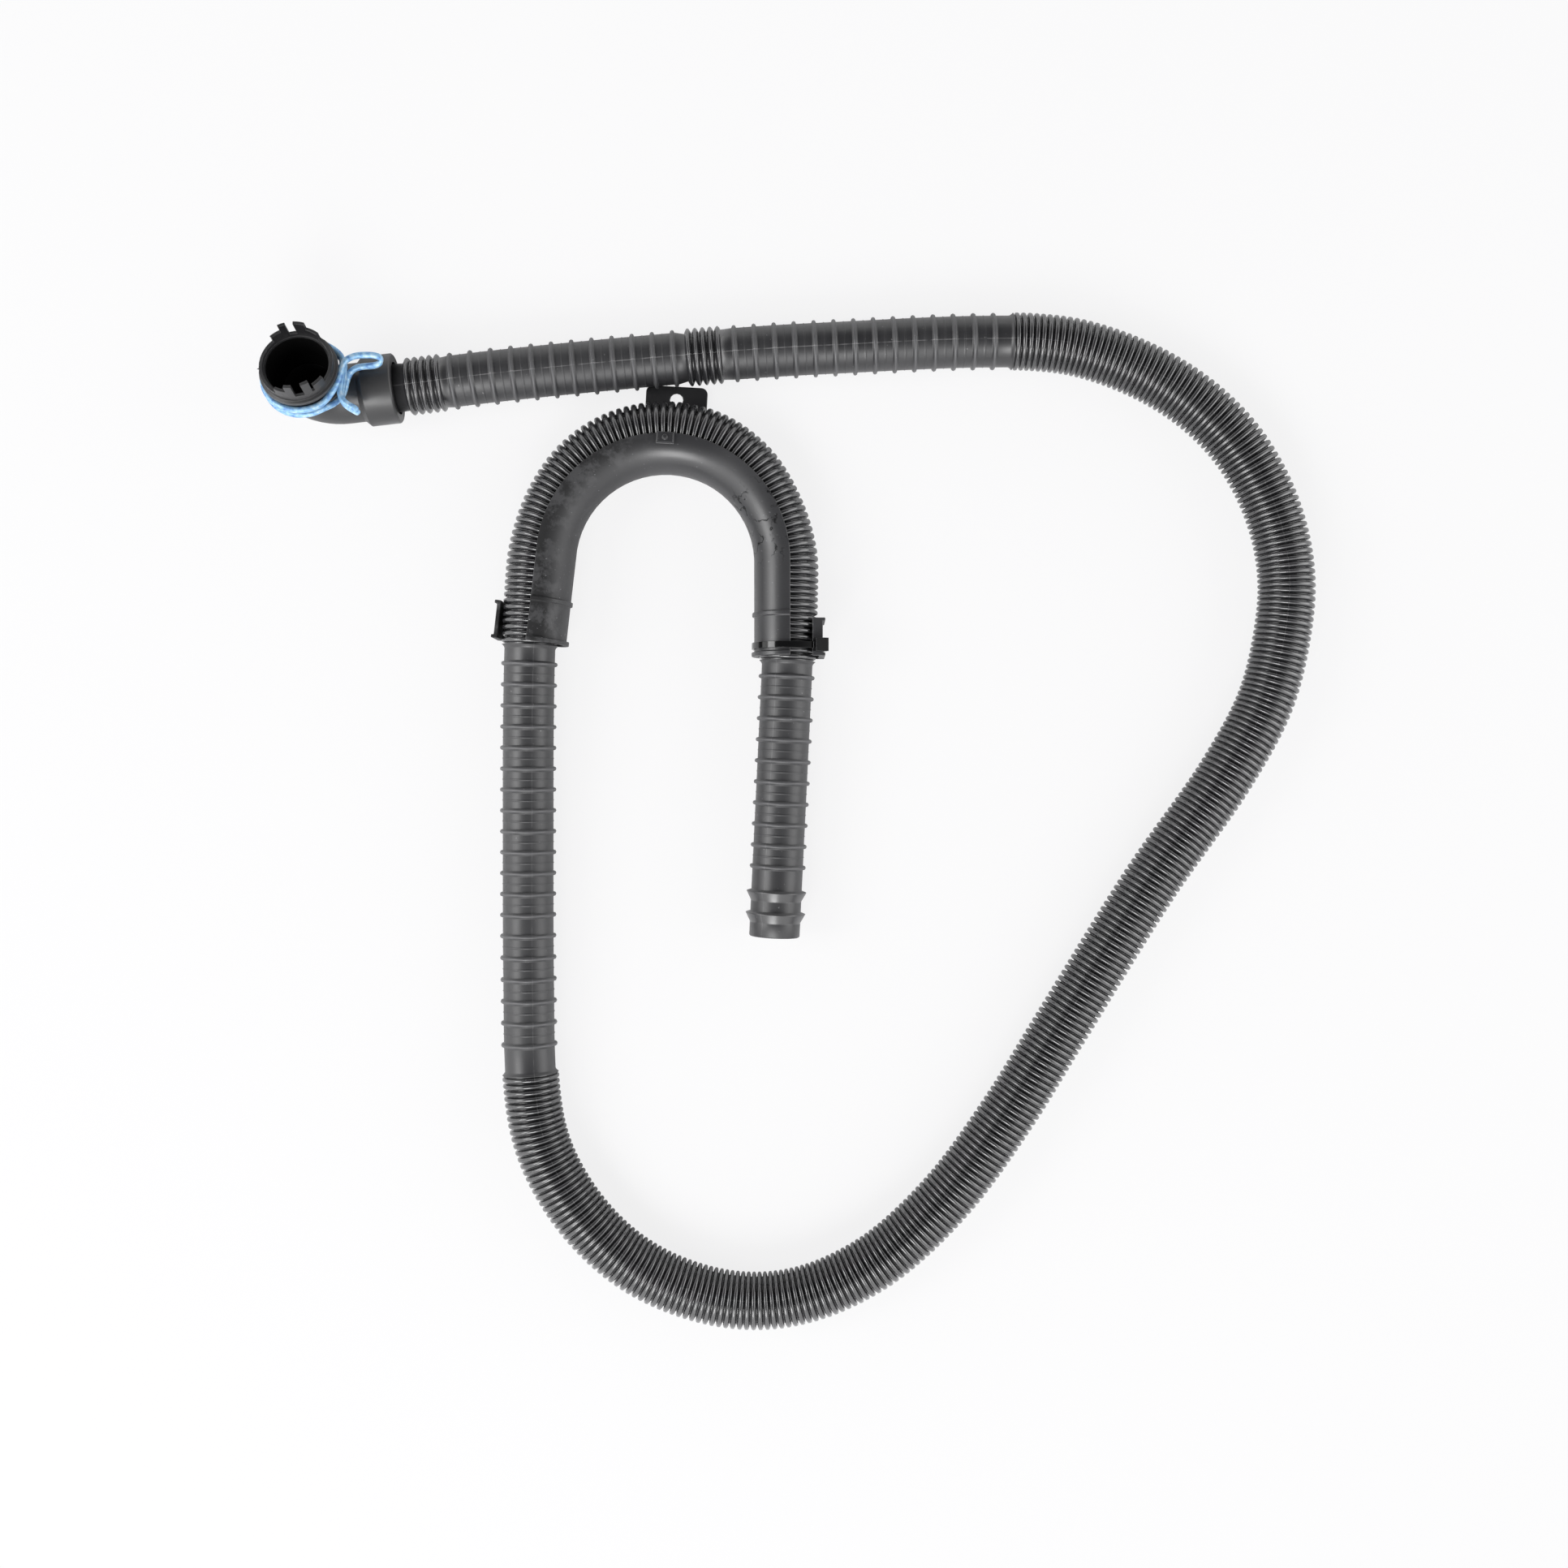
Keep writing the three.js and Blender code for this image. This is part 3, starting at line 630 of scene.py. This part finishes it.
below_rim = add_node(
    tree, "ShaderNodeMath", {0: along_mouth, 1: mouth_rim_height}, operation="LESS_THAN"
).outputs["Value"]
above_bend = add_node(
    tree, "ShaderNodeMath", {0: along_mouth, 1: -mouth_bend_depth}, operation="GREATER_THAN"
).outputs["Value"]
in_depth = add_node(
    tree, "ShaderNodeMath", {0: below_rim, 1: above_bend}, operation="MULTIPLY"
).outputs["Value"]
in_mouth = add_node(
    tree, "ShaderNodeMath", {0: in_bore, 1: in_depth}, operation="MULTIPLY"
).outputs["Value"]
shade = add_node(
    tree,
    "ShaderNodeMix",
    {"Factor": in_mouth, "A": base.outputs["Result"], "B": linear(bore_painted_shade)},
    data_type="RGBA",
)
rubber_shine = add_node(
    tree,
    "ShaderNodeMapRange",
    {
        "Value": bloom,
        "From Min": 0.35,
        "From Max": 0.65,
        "To Min": rubber_roughness[0],
        "To Max": rubber_roughness[1],
    },
).outputs["Result"]
dullness = add_node(
    tree,
    "ShaderNodeMapRange",
    {"Value": in_mouth, "To Min": rubber_shine, "To Max": bore_roughness},
).outputs["Result"]
gloss = add_node(
    tree,
    "ShaderNodeMapRange",
    {"Value": in_mouth, "To Min": rubber_gloss, "To Max": bore_gloss},
).outputs["Result"]
rubber = add_node(
    tree,
    "ShaderNodeBsdfPrincipled",
    {
        "Base Color": shade.outputs["Result"],
        "Roughness": dullness,
        "Specular IOR Level": gloss,
        "IOR": moulded_ior,
        "Normal": grain_bump,
    },
)
add_node(tree, "ShaderNodeOutputMaterial", {"Surface": rubber.outputs["BSDF"]})

elbow = moulded_copy("elbow", "rubber_elbow", elbow_rubber, crisp_angle, 0)


# Spring clamp: one length of spring steel wire, bent into two rings with a folded tang.
# It is zinc plated and passivated light blue, in paler and deeper patches.
plating_pale = "#aec4d5"
plating_light = "#7fa9ca"
plating_deep = "#587fb2"
plating_patch = 3.0 * mm
plating_metallic = 0.3
plating_roughness = 0.46
wire_smoothness = 2
wire_growth = 0.16 * mm
wire_crisp_angle = math.radians(60)

clamp_steel, tree = new_material("blue_passivated_zinc")
where = add_node(tree, "ShaderNodeTexCoord").outputs["Object"]
patches = add_node(
    tree, "ShaderNodeTexNoise", {"Vector": where, "Scale": 1 / plating_patch, "Detail": 4.0}
).outputs["Fac"]
pale_share = add_node(
    tree, "ShaderNodeMapRange", {"Value": patches, "From Min": 0.52, "From Max": 0.7}
).outputs["Result"]
face = add_node(
    tree,
    "ShaderNodeMix",
    {"Factor": pale_share, "A": linear(plating_light), "B": linear(plating_pale)},
    data_type="RGBA",
)
deep_share = add_node(
    tree, "ShaderNodeMapRange", {"Value": patches, "From Min": 0.5, "From Max": 0.36}
).outputs["Result"]
tint = add_node(
    tree,
    "ShaderNodeMix",
    {"Factor": deep_share, "A": face.outputs["Result"], "B": linear(plating_deep)},
    data_type="RGBA",
)
plating = add_node(
    tree,
    "ShaderNodeBsdfPrincipled",
    {
        "Base Color": tint.outputs["Result"],
        "Metallic": plating_metallic,
        "Roughness": plating_roughness,
    },
)
add_node(tree, "ShaderNodeOutputMaterial", {"Surface": plating.outputs["BSDF"]})

# Smoothing the wire makes it a little thin, so it grows back to its full width.
clamp = moulded_copy("spring_clamp", "spring_clamp_wire", clamp_steel, wire_crisp_angle, 0)
wire_smooth = clamp.modifiers.new("round_wire", "SUBSURF")
wire_smooth.levels = wire_smoothness
wire_smooth.render_levels = wire_smoothness
wire_full = clamp.modifiers.new("full_width", "DISPLACE")
wire_full.strength = wire_growth
wire_full.mid_level = 0.0


# Hanger: one injection moulded U of black polypropylene, a channel open on its outer
# side, with rims, clips and a tab that screws to the wall. Its bend is scuffed.
hanger_edge_round = 0.45 * mm
bend_centre = (64.05 * mm, -36.65 * mm, 0.0)
outer_side_from = 54 * mm
outer_side_to = 66 * mm
left_side_fade = 30 * mm
scuffed_place = (118.7 * mm, -14.7 * mm, 36.0 * mm)
scuff_reach = 27 * mm
scuff_core = 0.6 * scuff_reach

# Injection moulded polypropylene: smooth and satin, with a soft shine on the right of its
# bend, and duller on the left, where it has been handled.
hanger_dark = "#202022"
hanger_bloom = "#333335"
# Painted shade, mixed with wiped off bloom, for the outer left side.
hanger_wiped_and_shaded = "#1a1a1b"
scuff_dark = "#0c0c0d"
hanger_speck = "#77777a"
wiped_size = 9 * mm
scuff_size = 10 * mm
scuff_half_width = 0.03
hanger_roughness = (0.28, 0.44)
dull_roughness = 0.55
hanger_gloss = 0.5
worn_gloss = 0.05
wiped_wear = 0.6

hanger_plastic, tree = new_material("injection_moulded_polypropylene")
where = add_node(tree, "ShaderNodeTexCoord").outputs["Object"]
bloom = add_node(
    tree, "ShaderNodeTexNoise", {"Vector": where, "Scale": 1 / bloom_size, "Detail": 4.0}
).outputs["Fac"]
base = add_node(
    tree,
    "ShaderNodeMix",
    {"Factor": bloom, "A": linear(hanger_dark), "B": linear(hanger_bloom)},
    data_type="RGBA",
).outputs["Result"]

# The colour is darker in smudges along the outer side of the left leg and bend: partly the bloom
# wiped off,
#  partly painted shade. The outer side is told by the distance from the bend's middle, and on the
#  legs, which run towards -y, by the distance across them alone.
from_bend = add_node(
    tree, "ShaderNodeVectorMath", {0: where, 1: bend_centre}, operation="SUBTRACT"
).outputs["Vector"]
above_legs = add_node(
    tree, "ShaderNodeVectorMath", {0: from_bend, 1: (-1.0, 0.0, 0.0)}, operation="MAXIMUM"
).outputs["Vector"]
level_part = add_node(
    tree, "ShaderNodeVectorMath", {0: above_legs, 1: (1.0, 1.0, 0.0)}, operation="MULTIPLY"
).outputs["Vector"]
out_from_bend = add_node(
    tree, "ShaderNodeVectorMath", {0: level_part}, operation="LENGTH"
).outputs["Value"]
outer_side = add_node(
    tree,
    "ShaderNodeMapRange",
    {"Value": out_from_bend, "From Min": outer_side_from, "From Max": outer_side_to},
).outputs["Result"]
across_bend = add_node(tree, "ShaderNodeSeparateXYZ", {"Vector": from_bend}).outputs["X"]
left_side = add_node(
    tree,
    "ShaderNodeMapRange",
    {"Value": across_bend, "From Min": 0.0, "From Max": -left_side_fade},
).outputs["Result"]
smudge = add_node(
    tree,
    "ShaderNodeTexNoise",
    {"Vector": where, "Scale": 1 / wiped_size, "Detail": 6.0, "Roughness": 0.65},
).outputs["Fac"]
smudge_mask = add_node(
    tree, "ShaderNodeMapRange", {"Value": smudge, "From Min": 0.42, "From Max": 0.54}
).outputs["Result"]
outer_left = add_node(
    tree, "ShaderNodeMath", {0: outer_side, 1: left_side}, operation="MULTIPLY"
).outputs["Value"]
wiped_and_shaded = add_node(
    tree, "ShaderNodeMath", {0: outer_left, 1: smudge_mask}, operation="MULTIPLY"
).outputs["Value"]
base = add_node(
    tree,
    "ShaderNodeMix",
    {"Factor": wiped_and_shaded, "A": base, "B": linear(hanger_wiped_and_shaded)},
    data_type="RGBA",
).outputs["Result"]

# The right bend has thin curved scuffs, which lie where one noise crosses its middle.
curl = add_node(
    tree, "ShaderNodeTexNoise", {"Vector": where, "Scale": 1 / scuff_size, "Detail": 3.0}
).outputs["Fac"]
from_middle = add_node(
    tree, "ShaderNodeMath", {0: curl, 1: 0.5}, operation="SUBTRACT"
).outputs["Value"]
off_line = add_node(
    tree, "ShaderNodeMath", {0: from_middle}, operation="ABSOLUTE"
).outputs["Value"]
line = add_node(
    tree,
    "ShaderNodeMapRange",
    {"Value": off_line, "From Max": scuff_half_width, "To Min": 1.0, "To Max": 0.0},
).outputs["Result"]
from_scuffs = add_node(
    tree, "ShaderNodeVectorMath", {0: where, 1: scuffed_place}, operation="DISTANCE"
).outputs["Value"]
near_scuffs = add_node(
    tree,
    "ShaderNodeMapRange",
    {
        "Value": from_scuffs,
        "From Min": scuff_core,
        "From Max": scuff_reach,
        "To Min": 1.0,
        "To Max": 0.0,
    },
).outputs["Result"]
broken = add_node(
    tree, "ShaderNodeMapRange", {"Value": smudge, "From Min": 0.46, "From Max": 0.52}
).outputs["Result"]
line_here = add_node(
    tree, "ShaderNodeMath", {0: line, 1: near_scuffs}, operation="MULTIPLY"
).outputs["Value"]
scuffs = add_node(
    tree, "ShaderNodeMath", {0: line_here, 1: broken}, operation="MULTIPLY"
).outputs["Value"]
base = add_node(
    tree,
    "ShaderNodeMix",
    {"Factor": scuffs, "A": base, "B": linear(scuff_dark)},
    data_type="RGBA",
).outputs["Result"]

specks = add_node(
    tree, "ShaderNodeTexNoise", {"Vector": where, "Scale": 1 / speck_size, "Detail": 2.0}
).outputs["Fac"]
speck_mask = add_node(
    tree,
    "ShaderNodeMapRange",
    {"Value": specks, "From Min": 0.7, "From Max": 0.78, "To Max": 0.6},
).outputs["Result"]
speckled = add_node(
    tree,
    "ShaderNodeMix",
    {"Factor": speck_mask, "A": base, "B": linear(hanger_speck)},
    data_type="RGBA",
)
shine = add_node(
    tree,
    "ShaderNodeMapRange",
    {
        "Value": bloom,
        "From Min": 0.3,
        "From Max": 0.7,
        "To Min": hanger_roughness[0],
        "To Max": hanger_roughness[1],
    },
).outputs["Result"]
dull_share = add_node(
    tree, "ShaderNodeMath", {0: left_side, 1: scuffs}, operation="MAXIMUM"
).outputs["Value"]
dulled = add_node(
    tree, "ShaderNodeMapRange", {"Value": dull_share, "To Min": shine, "To Max": dull_roughness}
).outputs["Result"]
half_wiped = add_node(
    tree, "ShaderNodeMath", {0: wiped_and_shaded, 1: wiped_wear}, operation="MULTIPLY"
).outputs["Value"]
wear = add_node(
    tree, "ShaderNodeMath", {0: half_wiped, 1: scuffs}, operation="MAXIMUM"
).outputs["Value"]
gloss = add_node(
    tree, "ShaderNodeMapRange", {"Value": wear, "To Min": hanger_gloss, "To Max": worn_gloss}
).outputs["Result"]
plastic = add_node(
    tree,
    "ShaderNodeBsdfPrincipled",
    {
        "Base Color": speckled.outputs["Result"],
        "Roughness": dulled,
        "Specular IOR Level": gloss,
        "IOR": moulded_ior,
    },
)
add_node(tree, "ShaderNodeOutputMaterial", {"Surface": plastic.outputs["BSDF"]})

hanger = moulded_copy(
    "hanger", "hose_hanger", hanger_plastic, crisp_angle, hanger_edge_round
)


# Cable tie: one moulded strap of black nylon, pulled tight through its own head round the
# hanger's right leg, so that the hose stays in the channel.
tie_edge_round = 0.2 * mm

# Moulded nylon: deep black and glossy, with sharp small highlights along its edges.
nylon_black = "#0b0b0c"
nylon_roughness = 0.12
nylon_ior = 1.53

tie_nylon, tree = new_material("moulded_nylon")
nylon = add_node(
    tree,
    "ShaderNodeBsdfPrincipled",
    {"Base Color": linear(nylon_black), "Roughness": nylon_roughness, "IOR": nylon_ior},
)
add_node(tree, "ShaderNodeOutputMaterial", {"Surface": nylon.outputs["BSDF"]})

tie = moulded_copy("cable_tie", "nylon_cable_tie", tie_nylon, crisp_angle, tie_edge_round)


# Studio: a white floor that runs out of view, a room that is dim overhead and bright low
# down, and three soft lamps round the hose. The camera sees the floor mostly as plain
# white, which leaves only a soft trace of each shadow.
floor_half = 6.0

# White paper: matt, and bright enough to fade into the background.
floor_white = "#f0f0f1"
paper_roughness = 0.9
seen_white = (0.935, 0.933, 0.937, 1.0)
seen_share = 0.88

floor_paper, tree = new_material("white_paper")
paper = add_node(
    tree,
    "ShaderNodeBsdfPrincipled",
    {"Base Color": linear(floor_white), "Roughness": paper_roughness},
)
plain_white = add_node(tree, "ShaderNodeEmission", {"Color": seen_white, "Strength": 1.0})
is_camera = add_node(tree, "ShaderNodeLightPath").outputs["Is Camera Ray"]
white_share = add_node(
    tree, "ShaderNodeMath", {0: is_camera, 1: seen_share}, operation="MULTIPLY"
).outputs["Value"]
seen = add_node(
    tree,
    "ShaderNodeMixShader",
    {"Fac": white_share, 1: paper.outputs["BSDF"], 2: plain_white.outputs["Emission"]},
)
add_node(tree, "ShaderNodeOutputMaterial", {"Surface": seen.outputs["Shader"]})

floor_corners = floor_half * np.array([(-1, -1, 0), (1, -1, 0), (1, 1, 0), (-1, 1, 0)])
floor_mesh = bpy.data.meshes.new("studio_floor")
floor_mesh.from_pydata(floor_corners.tolist(), [], [(0, 1, 2, 3)])
floor = placed("studio_floor", floor_mesh, floor_paper)

# The room's light falls smoothly from low down to straight over the hose, by how far each
# direction points towards its dark part.
room_overhead = 0.05
room_low = 1.65
room_dark_towards = (0.0, 0.34, 0.94)
room_dim_from = 0.35
room_dim_to = 0.92
world = bpy.data.worlds.new("pale_room")
bpy.context.scene.world = world
world.use_nodes = True
world.node_tree.nodes.clear()
tree = world.node_tree
direction = add_node(tree, "ShaderNodeTexCoord").outputs["Generated"]
overhead = add_node(
    tree, "ShaderNodeVectorMath", {0: direction, 1: room_dark_towards}, operation="DOT_PRODUCT"
).outputs["Value"]
level = add_node(
    tree,
    "ShaderNodeMapRange",
    {
        "Value": overhead,
        "From Min": room_dim_from,
        "From Max": room_dim_to,
        "To Min": room_low,
        "To Max": room_overhead,
    },
    interpolation_type="SMOOTHSTEP",
).outputs["Result"]
room = add_node(
    tree, "ShaderNodeBackground", {"Color": (1.0, 1.0, 1.0, 1.0), "Strength": level}
)
add_node(tree, "ShaderNodeOutputWorld", {"Surface": room.outputs["Background"]})


def soft_lamp(name, place, aim, size, power):
    """A square lamp that faces its aim. Its size is in metres and its power in watts."""
    light = bpy.data.lights.new(name, "AREA")
    light.size = size
    light.energy = power
    made = bpy.data.objects.new(name, light)
    bpy.context.scene.collection.objects.link(made)
    made.location = place
    facing = made.location - aim.location
    made.rotation_euler = facing.to_track_quat("Z", "Y").to_euler()


view_centre = bpy.data.objects.new("view_centre", None)
view_centre.location = tuple(-stand_middle * mm)
bpy.context.scene.collection.objects.link(view_centre)
soft_lamp("left_lamp", (-1.3, -0.16, 1.25), view_centre, size=0.9, power=16.0)
soft_lamp("right_lamp", (1.7, -0.16, 0.6), view_centre, size=1.4, power=11.0)
soft_lamp("near_lamp", (-0.22, -1.5, 1.3), view_centre, size=0.8, power=18.0)

# Camera: straight above the middle of the picture, a little over a metre up.
camera_height = 1.05
picture_half = 966
focal_pixels = 2279.5
camera_data = bpy.data.cameras.new("overhead_camera")
camera_data.angle = 2 * math.atan(picture_half / focal_pixels)
camera = bpy.data.objects.new("overhead_camera", camera_data)
camera.location = (*(-stand_middle[:2] * mm), camera_height)
bpy.context.scene.collection.objects.link(camera)
bpy.context.scene.camera = camera
bpy.context.scene.view_settings.view_transform = "Standard"
